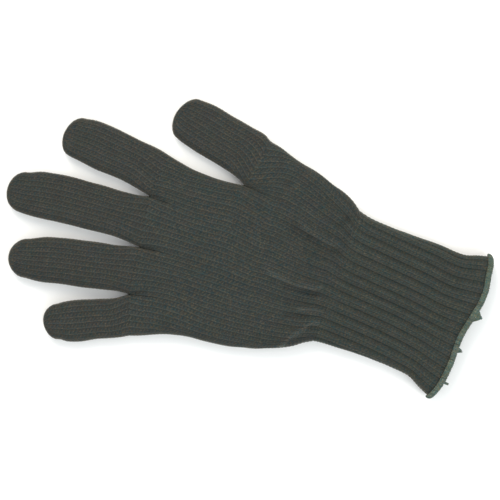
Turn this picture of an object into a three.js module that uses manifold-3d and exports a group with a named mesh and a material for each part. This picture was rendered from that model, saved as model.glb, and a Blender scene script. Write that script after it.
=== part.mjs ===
// A knitted glove liner lying flat, in millimetres, +Z up. The origin is under the middle of the palm
// on the plane that the glove lies on, +Y runs to the middle fingertip and +X to the thumb.
// Four finger tubes and a thumb tube stand on the hand, which is one knitted bag, and a ribbed cuff
// with an overcast edge closes it below. Every tube is hollow and opens into the next one.
import * as THREE from "three";
import Module from "manifold-3d";

const wasm = await Module();
wasm.setup();

// Driving dimensions of the hand.
const palmWidth = 92;
const palmLength = 113;
const wristWidth = 79;

// Driving dimensions of the cuff and its edge.
const cuffLength = 80;
const cuffLean = 9.6;
const wristTilt = 4.8;
const ribPitch = 5.64;
const ribDepth = 1.2;
const edgeReach = 3.2;
const edgeThread = 0.6;

// The knitted wall, and the height of each empty tube: both walls and the air between them. The hem's
// is taken over its edge, where the mouth stands a little open.
const fabric = 1.9;
const fingerLoft = 8.6;
const palmLoft = 10.4;
const cuffLoft = 11;
const hemLoft = 12.8;

// Space between two pieces that meet.
const joinGap = 0.3;

// The hand's upper tube ends inside the wall of its lower one: how far it is sunk, and how much
// thinner it is there on each face.
const tubeOverlap = 0.6;
const tubeShrink = 0.08;

// Length of each digit from its crotch line to its tip, and its turn from +Y towards the thumb.
const littleLength = 48.9;
const ringLength = 71.9;
const middleLength = 80.5;
const indexLength = 59.2;
const thumbLength = 54.3;
const littleTurn = -19.7;
const ringTurn = -8.6;
const middleTurn = -2;
const indexTurn = 9.3;
const thumbTurn = 17.5;

// Ends of the digits' crotch lines: across is a share of the palm's width, up of its length.
const crotchPoints = {
  littleSide: { across: -0.62, up: 0.444 },
  littleRing: { across: -0.371, up: 0.5035 },
  ringMiddle: { across: -0.072, up: 0.5115 },
  middleIndex: { across: 0.249, up: 0.529 },
  indexSide: { across: 0.527, up: 0.4885 },
  indexThumb: { across: 0.467, up: 0.0815 },
  thumbSide: { across: 0.777, up: 0.0105 },
};

// The little finger's edge of the hand level with the thumb's crotch, and the middle of the wrist.
const thumbLevel = { across: -0.533, up: 0.053 };
const wristMiddle = { across: 0.0696, up: -0.494 };

// How far along the hand, from the fingers to the wrist, the thumb's crotch lies. The upper hand
// reaches the palm's loft on the way there, and the lower one turns to the cuff's before the wrist.
const thumbCrotchAlong = 0.43;
const palmLoftBy = 0.5;
const cuffLoftFrom = 0.7;

// Where the seams between the finger strips meet the wrist, as shares of it from the little side.
const stripsAtWrist = { littleRing: 0.214, ringMiddle: 0.405, middleIndex: 0.595, indexThumb: 0.81 };

// The hand above the thumb: along runs from the fingers to the thumb's crotch, and each side swells
// out from its chord by a share of the palm's width. Pinch presses back and palm together between the
// finger strips, which makes the crotch valleys.
const upperHand = [
  { along: 0, little: 0, index: 0, pinch: 0.8 },
  { along: 0.12, little: -0.005, index: -0.01, pinch: 0.45 },
  { along: 0.28, little: -0.016, index: -0.023, pinch: 0.2 },
  { along: 0.51, little: -0.027, index: -0.025, pinch: 0.06 },
  { along: 0.77, little: -0.02, index: -0.018, pinch: 0 },
  { along: 1, little: 0, index: 0, pinch: 0 },
];

// The hand below the thumb's crotch, with the same columns, where the pinch is between index and thumb.
const lowerHand = [
  { along: 0, little: 0, thumb: 0, pinch: 0.8 },
  { along: 0.105, little: 0.016, thumb: 0.009, pinch: 0.4 },
  { along: 0.21, little: 0.028, thumb: 0.01, pinch: 0.15 },
  { along: 0.33, little: 0.037, thumb: 0.014, pinch: 0.04 },
  { along: 0.51, little: 0.048, thumb: 0.03, pinch: 0 },
  { along: 0.7, little: 0.043, thumb: 0.033, pinch: 0 },
  { along: 0.81, little: 0.032, thumb: 0.036, pinch: 0 },
  { along: 0.91, little: 0.011, thumb: 0.027, pinch: 0 },
  { along: 1, little: 0, thumb: 0, pinch: 0 },
];

// Soft folds and dents on the back of the hand: both ends as shares of the palm's width and length,
// the rise as a share of the palm's loft and the spread as one of the palm's width.
const folds = [
  { name: "middle ridge", x0: -0.011, y0: -0.122, x1: -0.051, y1: -0.314, rise: 0.12, spread: 0.05 },
  { name: "ridge's tail", x0: -0.051, y0: -0.314, x1: -0.023, y1: -0.418, rise: 0.13, spread: 0.045 },
  { name: "hollow under it", x0: -0.12, y0: -0.2, x1: -0.14, y1: -0.36, rise: -0.09, spread: 0.06 },
  { name: "thumb dent", x0: 0.285, y0: -0.183, x1: 0.234, y1: -0.419, rise: -0.15, spread: 0.055 },
  { name: "dent's brow", x0: 0.345, y0: -0.25, x1: 0.315, y1: -0.34, rise: 0.1, spread: 0.05 },
  { name: "heel ridge", x0: -0.404, y0: -0.312, x1: -0.23, y1: -0.411, rise: 0.12, spread: 0.045 },
];

// Sections of each digit: along is a share of its length, width and shift of its crotch line.
const littleSections = [
  { along: 0.13, width: 0.968, shift: -0.044 },
  { along: 0.38, width: 0.981, shift: -0.035 },
  { along: 0.63, width: 1.014, shift: -0.038 },
  { along: 0.75, width: 0.96, shift: -0.035 },
  { along: 0.82, width: 0.872, shift: -0.021 },
];
const ringSections = [
  { along: 0.09, width: 0.967, shift: 0.009 },
  { along: 0.39, width: 0.985, shift: 0.019 },
  { along: 0.6, width: 0.967, shift: 0.029 },
  { along: 0.75, width: 0.937, shift: 0.018 },
  { along: 0.85, width: 0.829, shift: 0.008 },
];
const middleSections = [
  { along: 0.09, width: 0.93, shift: 0.014 },
  { along: 0.4, width: 0.915, shift: 0.06 },
  { along: 0.7, width: 0.917, shift: 0.067 },
  { along: 0.8, width: 0.883, shift: 0.05 },
  { along: 0.87, width: 0.81, shift: 0.03 },
];
const indexSections = [
  { along: 0.09, width: 1.01, shift: 0.024 },
  { along: 0.32, width: 0.977, shift: 0.06 },
  { along: 0.55, width: 1.019, shift: 0.056 },
  { along: 0.77, width: 0.98, shift: 0.053 },
  { along: 0.86, width: 0.915, shift: 0.03 },
];
const thumbSections = [
  { along: 0.06, width: 1.007, shift: 0.034 },
  { along: 0.27, width: 0.976, shift: 0.042 },
  { along: 0.5, width: 0.967, shift: 0.026 },
  { along: 0.7, width: 0.957, shift: 0.019 },
  { along: 0.84, width: 0.875, shift: 0.005 },
];

// The digits, each on the crotch line between its two points.
const digits = [
  {
    name: "little_finger", from: "littleSide", to: "littleRing", length: littleLength,
    turn: littleTurn, rootLoft: fingerLoft, sections: littleSections, colour: 0x40423f,
  },
  {
    name: "ring_finger", from: "littleRing", to: "ringMiddle", length: ringLength,
    turn: ringTurn, rootLoft: fingerLoft, sections: ringSections, colour: 0x40423f,
  },
  {
    name: "middle_finger", from: "ringMiddle", to: "middleIndex", length: middleLength,
    turn: middleTurn, rootLoft: fingerLoft, sections: middleSections, colour: 0x40423f,
  },
  {
    name: "index_finger", from: "middleIndex", to: "indexSide", length: indexLength,
    turn: indexTurn, rootLoft: fingerLoft, sections: indexSections, colour: 0x41433f,
  },
  {
    name: "thumb", from: "indexThumb", to: "thumbSide", length: thumbLength,
    turn: thumbTurn, rootLoft: palmLoft, sections: thumbSections, colour: 0x454744,
  },
];

// Sections of the cuff: along is a share of its length, and the reach to each side of its centre line
// a share of the wrist's width. Lean goes from the wrist's tilt to the cuff's own, and ribs is how much
// of their depth shows. The last section holds for all of the stretch that the edge wraps.
const cuffSections = [
  { along: 0, little: 0.502, thumb: 0.502, lean: 0, ribs: 0.2 },
  { along: 0.05, little: 0.492, thumb: 0.49, lean: 0.3, ribs: 0.8 },
  { along: 0.2, little: 0.473, thumb: 0.491, lean: 1, ribs: 1 },
  { along: 0.6, little: 0.438, thumb: 0.521, lean: 1, ribs: 1 },
  { along: 0.77, little: 0.446, thumb: 0.529, lean: 1, ribs: 1 },
  { along: 0.87, little: 0.48, thumb: 0.558, lean: 1, ribs: 0.8 },
  { along: 1, little: 0.518, thumb: 0.597, lean: 1, ribs: 0.3 },
];

// The hem's slack line: from the little side to the thumb side, how far it runs past the cuff's length.
const hemWave = [
  { across: 0, reach: -0.03 },
  { across: 0.07, reach: -0.004 },
  { across: 0.22, reach: 0.01 },
  { across: 0.45, reach: -0.006 },
  { across: 0.6, reach: 0.014 },
  { across: 0.7, reach: 0.026 },
  { across: 0.8, reach: 0.018 },
  { across: 0.87, reach: -0.004 },
  { across: 0.95, reach: -0.024 },
  { across: 1, reach: -0.05 },
];

// Turns of a tube's rounded side, from under it to over it, and stations along one strip of the hand.
const sideTurns = [-60, -30, 0, 30, 60];
const stripShares = [0, 0.1, 0.3, 0.7, 0.9];
const digitShares = [0, 0.25, 0.5, 0.75];

// Turns of a digit's round tip, outside and inside, and the share of its loft that is left at its end.
const tipTurns = [32, 54, 72];
const innerTipTurns = [32, 54];
const tipLoft = 0.5;

// Shares of a digit's length over which its rings turn square to it and take its own loft, and the
// share of the cuff's from which it opens to the hem.
const squareBy = 0.15;
const loftBy = 0.3;
const hemFrom = 0.75;

const radians = THREE.MathUtils.degToRad;
const mix = THREE.MathUtils.lerp;

// Plan points are two-dimensional: x towards the thumb, y towards the fingers.
const between = (a, b, share) => new THREE.Vector2().lerpVectors(a, b, share);
const shifted = (point, direction, distance) => point.clone().addScaledVector(direction, distance);
const onPalm = ({ across, up }) => new THREE.Vector2(across * palmWidth, up * palmLength);

// The direction that is turned by so many degrees from +Y towards the thumb, and from +X downwards.
const turnedUp = (degrees) => new THREE.Vector2(Math.sin(radians(degrees)), Math.cos(radians(degrees)));
const turnedAcross = (degrees) =>
  new THREE.Vector2(Math.cos(radians(degrees)), -Math.sin(radians(degrees)));

// A course is the line in plan that one row of stitches follows: a chain of points from the little
// side to the thumb side. This finds the point at a distance along it.
function alongCourse(course, distance) {
  let left = distance;
  for (let i = 0; i < course.length - 1; i += 1) {
    const step = course[i].distanceTo(course[i + 1]);
    if (left <= step || i === course.length - 2) return between(course[i], course[i + 1], left / step);
    left -= step;
  }
  return course.at(-1).clone();
}

// Distance along the course to each of its points.
function marks(course) {
  const found = [0];
  for (let i = 1; i < course.length; i += 1) found.push(found[i - 1] + course[i].distanceTo(course[i - 1]));
  return found;
}

// How far the back of the hand is lifted at a plan point by its folds.
function foldRise(point) {
  let rise = 0;
  for (const fold of folds) {
    const start = new THREE.Vector2(fold.x0 * palmWidth, fold.y0 * palmLength);
    const end = new THREE.Vector2(fold.x1 * palmWidth, fold.y1 * palmLength);
    const run = end.clone().sub(start);
    const share = THREE.MathUtils.clamp(point.clone().sub(start).dot(run) / run.lengthSq(), 0, 1);
    const away = point.distanceTo(between(start, end, share)) / (fold.spread * palmWidth);
    rise += fold.rise * palmLoft * Math.exp(-away * away);
  }
  return rise;
}

// One ring of a flattened tube: up the little side, over the back, down the thumb side and back
// underneath. The inset draws it inwards by a wall, the pinch presses back and palm together at the
// seams from firstPinch on, and shares are the stations between two marks.
function flatRing({
  course, loft, lift = 0, inset = 0, pinch = 0, firstPinch = 1, shares = digitShares, folded = false,
}) {
  const places = marks(course);
  const radius = loft / 2;
  const strips = [radius, ...places.slice(1, -1), places.at(-1) - radius];
  const stations = strips
    .slice(0, -1)
    .flatMap((start, i) => shares.map((share) => mix(start, strips[i + 1], share)));
  stations.push(strips.at(-1));
  const press = pinch * (radius - fabric);
  const dip = (place) =>
    strips.slice(firstPinch, -1).reduce((sum, seam) => {
      const near = Math.max(0, 1 - Math.abs(place - seam) / radius);
      return sum + press * near * near;
    }, 0);
  const put = (place, height, withFolds) => {
    const plan = alongCourse(course, place);
    return new THREE.Vector3(plan.x, plan.y, lift + height + (withFolds ? foldRise(plan) : 0));
  };
  const round = radius - inset;
  const side = (turn) => [round * Math.cos(radians(turn)), radius + round * Math.sin(radians(turn))];
  const points = [];
  for (const turn of sideTurns) {
    const [out, height] = side(turn);
    points.push(put(radius - out, height, false));
  }
  for (const place of stations) points.push(put(place, loft - inset - dip(place), folded));
  for (const turn of sideTurns.toReversed()) {
    const [out, height] = side(turn);
    points.push(put(places.at(-1) - radius + out, height, false));
  }
  for (const place of stations.toReversed()) points.push(put(place, inset + dip(place), false));
  return points;
}

// Joins rings into a closed wall: the outer rings, the inner rings, a rim at the open start, and
// either a rim at the end or, where the tube ends in a tip, a fan to a point on each face.
function tubeWall(outer, inner, tips = null) {
  const size = outer[0].length;
  const points = [...outer.flat(), ...inner.flat()];
  const innerStart = outer.length * size;
  const faces = [];
  const strip = (a, b) => {
    for (let i = 0; i < size; i += 1) {
      const next = (i + 1) % size;
      faces.push([a + i, a + next, b + next], [a + i, b + next, b + i]);
    }
  };
  for (let i = 0; i < outer.length - 1; i += 1) strip(i * size, (i + 1) * size);
  for (let i = 0; i < inner.length - 1; i += 1) strip(innerStart + (i + 1) * size, innerStart + i * size);
  strip(innerStart, 0);
  const outerEnd = (outer.length - 1) * size;
  const innerEnd = innerStart + (inner.length - 1) * size;
  if (tips) {
    points.push(tips.outer, tips.inner);
    for (let i = 0; i < size; i += 1) {
      const next = (i + 1) % size;
      faces.push([outerEnd + i, outerEnd + next, points.length - 2]);
      faces.push([innerEnd + next, innerEnd + i, points.length - 1]);
    }
  } else {
    strip(outerEnd, innerEnd);
  }
  return { points, faces };
}

// Sweeps a closed section round a closed path, as the edge's thread is.
function closedSweep(sections) {
  const size = sections[0].length;
  const faces = [];
  sections.forEach((section, i) => {
    const a = i * size;
    const b = ((i + 1) % sections.length) * size;
    for (let j = 0; j < size; j += 1) {
      const next = (j + 1) % size;
      faces.push([a + j, a + next, b + next], [a + j, b + next, b + j]);
    }
  });
  return { points: sections.flat(), faces };
}

function geometryOf({ points, faces }) {
  const geometry = new THREE.BufferGeometry();
  const places = points.flatMap((p) => p.toArray());
  geometry.setAttribute("position", new THREE.Float32BufferAttribute(places, 3));
  geometry.setIndex(faces.flat());
  geometry.computeVertexNormals();
  return geometry;
}

function solidOf({ points, faces }) {
  const vertProperties = new Float32Array(points.flatMap((p) => p.toArray()));
  const triVerts = new Uint32Array(faces.flat());
  return new wasm.Manifold(new wasm.Mesh({ numProp: 3, vertProperties, triVerts }));
}

function knittedMesh(name, geometry, colour) {
  const yarn = new THREE.MeshStandardMaterial({ color: colour, roughness: 0.95, metalness: 0 });
  const mesh = new THREE.Mesh(geometry, yarn);
  mesh.name = name;
  return mesh;
}

// The wrist line: its ends and any share of it from the little side.
const wristCentre = onPalm(wristMiddle);
const wristEnds = [-0.5, 0.5].map((side) =>
  shifted(wristCentre, turnedAcross(wristTilt), side * wristWidth));
const onWrist = (share) => between(wristEnds[0], wristEnds[1], share);

// A seam between two finger strips, from its crotch to the wrist.
const seam = (name, along) => between(onPalm(crotchPoints[name]), onWrist(stripsAtWrist[name]), along);
const fingerSeams = ["littleRing", "ringMiddle", "middleIndex"];

function upperCourse(row) {
  const little = between(onPalm(crotchPoints.littleSide), onPalm(thumbLevel), row.along);
  const index = between(onPalm(crotchPoints.indexSide), onPalm(crotchPoints.indexThumb), row.along);
  little.x -= row.little * palmWidth;
  index.x += row.index * palmWidth;
  const seams = fingerSeams.map((name) => seam(name, row.along * thumbCrotchAlong));
  return [little, ...seams, index];
}

function lowerCourse(row) {
  const little = between(onPalm(thumbLevel), wristEnds[0], row.along);
  const thumb = between(onPalm(crotchPoints.thumbSide), wristEnds[1], row.along);
  little.x -= row.little * palmWidth;
  thumb.x += row.thumb * palmWidth;
  const seams = fingerSeams.map((name) => seam(name, mix(thumbCrotchAlong, 1, row.along)));
  return [little, ...seams, seam("indexThumb", row.along), thumb];
}

// The hand: a tube above the thumb's crotch and a wider one below it, sunk into each other. Both run
// from the wrist towards the fingers.
function hand() {
  const upperLoft = (along) => mix(fingerLoft, palmLoft, THREE.MathUtils.smoothstep(along, 0, palmLoftBy));
  const lowerLoft = (along) => mix(palmLoft, cuffLoft, THREE.MathUtils.smoothstep(along, cuffLoftFrom, 1));
  const upperRows = upperHand.toReversed();
  const lowerRows = lowerHand.toReversed();
  const sunk = (ring) => ring.map((p) => p.clone().setY(p.y - tubeOverlap));
  const upperRings = (inset) => {
    const rings = upperRows.map((row) =>
      flatRing({
        course: upperCourse(row), loft: upperLoft(row.along), inset, pinch: row.pinch,
        shares: stripShares, folded: true,
      }));
    const nested = flatRing({
      course: upperCourse(upperRows[0]), loft: palmLoft, inset: inset ? inset - tubeShrink : tubeShrink,
      shares: stripShares, folded: true,
    });
    return [sunk(nested), ...rings.slice(1)];
  };
  const thumbSeam = fingerSeams.length + 1;
  const lowerRings = (inset) =>
    lowerRows.map((row) =>
      flatRing({
        course: lowerCourse(row), loft: lowerLoft(row.along), inset, pinch: row.pinch,
        firstPinch: thumbSeam, shares: stripShares, folded: true,
      }));
  const upper = solidOf(tubeWall(upperRings(0), upperRings(fabric)));
  const lower = solidOf(tubeWall(lowerRings(0), lowerRings(fabric)));
  const whole = upper.add(lower).getMesh();
  const geometry = new THREE.BufferGeometry();
  geometry.setAttribute("position", new THREE.BufferAttribute(new Float32Array(whole.vertProperties), 3));
  geometry.setIndex(new THREE.BufferAttribute(new Uint32Array(whole.triVerts), 1));
  geometry.computeVertexNormals();
  return geometry;
}

// A digit: rings square to its own line, the first one along its crotch line, and a round tip.
function digit({ from, to, length, turn, rootLoft, sections }) {
  const [left, right] = [onPalm(crotchPoints[from]), onPalm(crotchPoints[to])];
  const baseTurn = THREE.MathUtils.radToDeg(Math.atan2(left.y - right.y, right.x - left.x));
  const baseWidth = left.distanceTo(right);
  const root = shifted(between(left, right, 0.5), turnedUp(baseTurn), joinGap);
  const axis = turnedUp(turn);
  const aside = turnedAcross(turn);
  const course = (distance, width, shift) => {
    const lean = mix(baseTurn, turn, THREE.MathUtils.smoothstep(distance / length, 0, squareBy));
    const middle = shifted(shifted(root, axis, distance), aside, shift);
    return [-0.5, 0.5].map((side) => shifted(middle, turnedAcross(lean), side * width));
  };
  const loftAt = (along) => mix(rootLoft, fingerLoft, THREE.MathUtils.smoothstep(along, 0, loftBy));
  const end = sections.at(-1);
  const tipWidth = end.width * baseWidth;
  const tipStart = end.along * length;
  const tipRings = (turns, inset) =>
    turns.map((degrees) => {
      const width = tipWidth * Math.cos(radians(degrees));
      const loft = Math.min(fingerLoft * mix(tipLoft, 1, Math.cos(radians(degrees))), width);
      const distance = tipStart + (length - tipStart - inset) * Math.sin(radians(degrees));
      const shift = end.shift * baseWidth * Math.cos(radians(degrees));
      const lift = (fingerLoft - loft) / 2;
      return flatRing({ course: course(distance, width, shift), loft, lift, inset });
    });
  const rings = (inset, turns) => [
    flatRing({ course: course(0, baseWidth - joinGap, 0), loft: rootLoft, inset }),
    ...sections.map(({ along, width, shift }) =>
      flatRing({
        course: course(along * length, width * baseWidth, shift * baseWidth), loft: loftAt(along), inset,
      })),
    ...tipRings(turns, inset),
  ];
  const tipPoint = (inset) => {
    const plan = shifted(root, axis, length - inset);
    return new THREE.Vector3(plan.x, plan.y, fingerLoft / 2);
  };
  const tips = { outer: tipPoint(0), inner: tipPoint(fabric) };
  return geometryOf(tubeWall(rings(0, tipTurns), rings(fabric, innerTipTurns), tips));
}

// The cuff's own line, from the wrist towards the hem.
const cuffAxis = turnedUp(cuffLean).negate();
const ribCount = Math.round((2 * wristWidth) / ribPitch);
const stationsPerRib = 4;
const edgeRise = joinGap + edgeThread;

// One course of the cuff. The slack is how much of the hem's wave it has taken up.
function cuffCourse(section, distance, slack) {
  const middle = shifted(wristCentre, cuffAxis, distance);
  const across = turnedAcross(mix(wristTilt, cuffLean, section.lean));
  const start = shifted(middle, across, -section.little * wristWidth);
  const end = shifted(middle, across, section.thumb * wristWidth);
  return hemWave.map(({ across: share, reach }) =>
    shifted(between(start, end, share), cuffAxis, slack * reach * cuffLength));
}

// A point of a stadium round the cuff, by its share of the way round from the little side over the
// back: the distance across, the height and the outward direction.
function roundCuff(width, loft, share) {
  const radius = loft / 2;
  const flat = width - loft;
  const arc = Math.PI * radius;
  let way = share * 2 * (flat + arc);
  const onSide = (middle, angle) => ({
    across: middle + radius * Math.cos(angle), height: radius + radius * Math.sin(angle),
    out: Math.cos(angle), up: Math.sin(angle),
  });
  if (way < arc / 2) return onSide(radius, Math.PI - way / radius);
  way -= arc / 2;
  if (way < flat) return { across: radius + way, height: loft, out: 0, up: 1 };
  way -= flat;
  if (way < arc) return onSide(width - radius, Math.PI / 2 - way / radius);
  way -= arc;
  if (way < flat) return { across: width - radius - way, height: 0, out: 0, up: -1 };
  way -= flat;
  return onSide(radius, -Math.PI / 2 - way / radius);
}

function cuffPoint(course, spot, offset, lift) {
  const plan = alongCourse(course, spot.across + spot.out * offset);
  return new THREE.Vector3(plan.x, plan.y, lift + spot.height + spot.up * offset);
}

// The cuff's height and its rise from the ground, where it leaves room for the edge that wraps it.
const wrappedFrom = 1 - (edgeReach + joinGap) / cuffLength;
const hemShare = (along) => THREE.MathUtils.smoothstep(along, hemFrom, wrappedFrom);
const hemLift = (along) => edgeRise * hemShare(along);
const cuffHeight = (along) => mix(cuffLoft, hemLoft - 2 * edgeRise, hemShare(along));

function cuffRing(section, inset) {
  const end = cuffLength - edgeRise;
  const distance = mix(joinGap, end, section.along);
  const course = cuffCourse(section, distance, hemShare(section.along));
  const width = marks(course).at(-1);
  const lift = hemLift(section.along);
  const count = ribCount * stationsPerRib;
  const points = [];
  for (let i = 0; i < count; i += 1) {
    const spot = roundCuff(width, cuffHeight(section.along), i / count);
    const valley = (1 - Math.cos((2 * Math.PI * i) / stationsPerRib)) / 2;
    const depth = ribDepth * section.ribs * valley;
    points.push(cuffPoint(course, spot, inset ? -inset - depth / 2 : -depth, lift));
  }
  return points;
}

function cuff() {
  const hem = cuffSections.at(-1);
  const rows = [hem, { ...hem, along: wrappedFrom }, ...cuffSections.slice(0, -1).toReversed()];
  const rings = (inset) => rows.map((section) => cuffRing(section, inset));
  return geometryOf(tubeWall(rings(0), rings(fabric)));
}

// The overcast edge: thread wrapped round the cuff's raw end, over its outside, end and inside.
function cuffEdge() {
  const section = cuffSections.at(-1);
  const course = cuffCourse(section, cuffLength, 1);
  const width = marks(course).at(-1);
  const outside = joinGap;
  const inside = -fabric - (ribDepth * section.ribs) / 2 - joinGap;
  const profile = [
    { back: edgeReach, offset: outside },
    { back: edgeReach - edgeThread, offset: outside + edgeThread },
    { back: edgeThread, offset: outside + edgeThread },
    { back: 0, offset: (outside + inside) / 2 },
    { back: edgeThread, offset: inside - edgeThread },
    { back: edgeReach - edgeThread, offset: inside - edgeThread },
    { back: edgeReach, offset: inside },
    { back: edgeThread, offset: inside },
    { back: edgeThread, offset: outside },
  ];
  const count = ribCount * 2;
  const sections = [];
  for (let i = 0; i < count; i += 1) {
    const spot = roundCuff(width, hemLoft - 2 * edgeRise, i / count);
    sections.push(profile.map(({ back, offset }) => {
      const point = cuffPoint(course, spot, offset, edgeRise);
      return point.sub(new THREE.Vector3(cuffAxis.x, cuffAxis.y, 0).multiplyScalar(back));
    }));
  }
  return geometryOf(closedSweep(sections));
}

const glove = new THREE.Group();
glove.add(knittedMesh("hand", hand(), 0x414541));
for (const one of digits) glove.add(knittedMesh(one.name, digit(one), one.colour));
glove.add(knittedMesh("rib_cuff", cuff(), 0x3f4540));
glove.add(knittedMesh("cuff_edge", cuffEdge(), 0x4b5d4f));

export default glove;
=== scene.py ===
"""A knitted wool glove liner that lies flat, back of the hand up.

Lengths are in millimetres until the meshes are built, which are in metres.
"""

import math

import bpy
import numpy as np
from mathutils import Matrix, Vector


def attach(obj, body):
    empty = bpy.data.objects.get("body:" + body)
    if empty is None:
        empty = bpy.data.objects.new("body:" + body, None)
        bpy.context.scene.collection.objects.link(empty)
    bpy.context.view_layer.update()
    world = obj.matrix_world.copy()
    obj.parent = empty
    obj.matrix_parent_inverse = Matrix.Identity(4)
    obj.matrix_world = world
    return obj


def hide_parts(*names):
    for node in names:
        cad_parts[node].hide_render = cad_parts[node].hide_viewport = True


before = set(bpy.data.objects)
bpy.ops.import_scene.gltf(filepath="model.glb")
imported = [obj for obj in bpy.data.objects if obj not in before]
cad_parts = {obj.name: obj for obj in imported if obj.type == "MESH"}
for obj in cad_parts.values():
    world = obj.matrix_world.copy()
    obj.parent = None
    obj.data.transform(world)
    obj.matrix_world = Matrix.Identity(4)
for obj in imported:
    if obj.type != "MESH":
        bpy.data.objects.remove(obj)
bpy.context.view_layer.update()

MM = 0.001
random_draws = np.random.default_rng(20)

# Sizes of the hand, the cuff and its edge, and the heights of the empty tubes.
PALM_WIDTH = 92.0
PALM_LENGTH = 113.0
WRIST_WIDTH = 79.0
CUFF_LENGTH = 80.0
CUFF_LEAN = 9.6
WRIST_TILT = 4.8
RIB_DEPTH = 1.2
EDGE_REACH = 3.2
EDGE_THREAD = 0.6
FABRIC = 1.9
FINGER_LOFT = 8.6
PALM_LOFT = 10.4
CUFF_LOFT = 11.0
HEM_LOFT = 12.8
JOIN_GAP = 0.3

# The knit: columns of stitches are called wales, rows of them courses.
COURSE = 2.1
RIBS = 28
STRIP_WALES = (8, 9, 9, 10)
THUMB_WALES = 10
ROWS_PER_COURSE = 4

# Rings along the inside of a tube, and the painted shade that darkens the wool in there.
INNER_ROWS = 8
INSIDE_LIGHT = 0.3

# Ends of the digits' crotch lines: a share of the palm's width, and of its length.
CROTCH = {
    "littleSide": (-0.62, 0.444),
    "littleRing": (-0.371, 0.5035),
    "ringMiddle": (-0.072, 0.5115),
    "middleIndex": (0.249, 0.529),
    "indexSide": (0.527, 0.4885),
    "indexThumb": (0.467, 0.0815),
    "thumbSide": (0.777, 0.0105),
}
# The little side at the thumb's level and the middle of the wrist, in the same shares. Then how far down
# the seams the thumb's crotch lies, and where each seam ends as a share across the wrist.
THUMB_LEVEL = (-0.533, 0.053)
WRIST_MIDDLE = (0.0696, -0.494)
THUMB_CROTCH_ALONG = 0.43
STRIPS_AT_WRIST = {"littleRing": 0.214, "ringMiddle": 0.405, "middleIndex": 0.595, "indexThumb": 0.81}
FINGER_SEAMS = ("littleRing", "ringMiddle", "middleIndex")

# The hand above the thumb's crotch: along, the swell of each side as a share of the palm's width, and
# how far back and palm are pressed together between the finger strips.
UPPER_HAND = np.array([
    # along, little, index, pinch
    (0.0, 0.0, 0.0, 1.0),
    (0.12, -0.005, -0.01, 0.5),
    (0.28, -0.016, -0.023, 0.2),
    (0.51, -0.027, -0.025, 0.05),
    (0.77, -0.02, -0.018, 0.0),
    (1.0, 0.0, 0.0, 0.0),
])

# The hand below it, where the pinch is between index and thumb.
LOWER_HAND = np.array([
    # along, little, thumb, pinch
    (0.0, 0.0, 0.0, 1.0),
    (0.105, 0.016, 0.009, 0.45),
    (0.21, 0.028, 0.01, 0.16),
    (0.33, 0.037, 0.014, 0.04),
    (0.51, 0.048, 0.03, 0.0),
    (0.7, 0.043, 0.033, 0.0),
    (0.81, 0.032, 0.036, 0.0),
    (0.91, 0.011, 0.027, 0.0),
    (1.0, 0.0, 0.0, 0.0),
])

# Folds and dents on the back of the hand: both ends as shares of the palm's width and length, the rise
# as a share of the palm's loft and the spread as one of the palm's width.
FOLDS = (
    # x0, y0, x1, y1, rise, spread
    (-0.011, -0.122, -0.051, -0.314, 0.12, 0.045),
    (-0.051, -0.314, -0.023, -0.418, 0.13, 0.04),
    (-0.12, -0.2, -0.14, -0.36, -0.09, 0.055),
    (0.285, -0.183, 0.234, -0.419, -0.16, 0.05),
    (0.345, -0.25, 0.315, -0.34, 0.11, 0.045),
    (-0.404, -0.312, -0.23, -0.411, 0.12, 0.04),
)

# The digits: the two ends of the crotch line, the length in mm, the turn in degrees from +Y towards the
# thumb, the wales on each face and the extra ones at the two edges. In the sections, along is a share of
# the length, and width and shift are shares of the crotch line.
DIGITS = {
    "little_finger": {
        "between": ("littleSide", "littleRing"), "length": 48.9, "turn": -19.7,
        "loft": FINGER_LOFT, "wales": STRIP_WALES[0], "gussets": (0, 2),
        "sections": ((0.13, 0.968, -0.044), (0.38, 0.981, -0.035), (0.63, 1.014, -0.038),
                     (0.75, 0.96, -0.035), (0.82, 0.872, -0.021)),
    },
    "ring_finger": {
        "between": ("littleRing", "ringMiddle"), "length": 71.9, "turn": -8.6,
        "loft": FINGER_LOFT, "wales": STRIP_WALES[1], "gussets": (2, 2),
        "sections": ((0.09, 0.967, 0.009), (0.39, 0.985, 0.019), (0.6, 0.967, 0.029),
                     (0.75, 0.937, 0.018), (0.85, 0.829, 0.008)),
    },
    "middle_finger": {
        "between": ("ringMiddle", "middleIndex"), "length": 80.5, "turn": -2.0,
        "loft": FINGER_LOFT, "wales": STRIP_WALES[2], "gussets": (2, 2),
        "sections": ((0.09, 0.93, 0.014), (0.4, 0.915, 0.06), (0.7, 0.917, 0.067),
                     (0.8, 0.883, 0.05), (0.87, 0.81, 0.03)),
    },
    "index_finger": {
        "between": ("middleIndex", "indexSide"), "length": 59.2, "turn": 9.3,
        "loft": FINGER_LOFT, "wales": STRIP_WALES[3], "gussets": (2, 0),
        "sections": ((0.09, 1.01, 0.024), (0.32, 0.977, 0.06), (0.55, 1.019, 0.056),
                     (0.77, 0.98, 0.053), (0.86, 0.915, 0.03)),
    },
    "thumb": {
        "between": ("indexThumb", "thumbSide"), "length": 54.3, "turn": 17.5,
        "loft": PALM_LOFT, "wales": THUMB_WALES, "gussets": (4, 0),
        "sections": ((0.06, 1.007, 0.034), (0.27, 0.976, 0.042), (0.5, 0.967, 0.026),
                     (0.7, 0.957, 0.019), (0.84, 0.875, 0.005)),
    },
}

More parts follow.
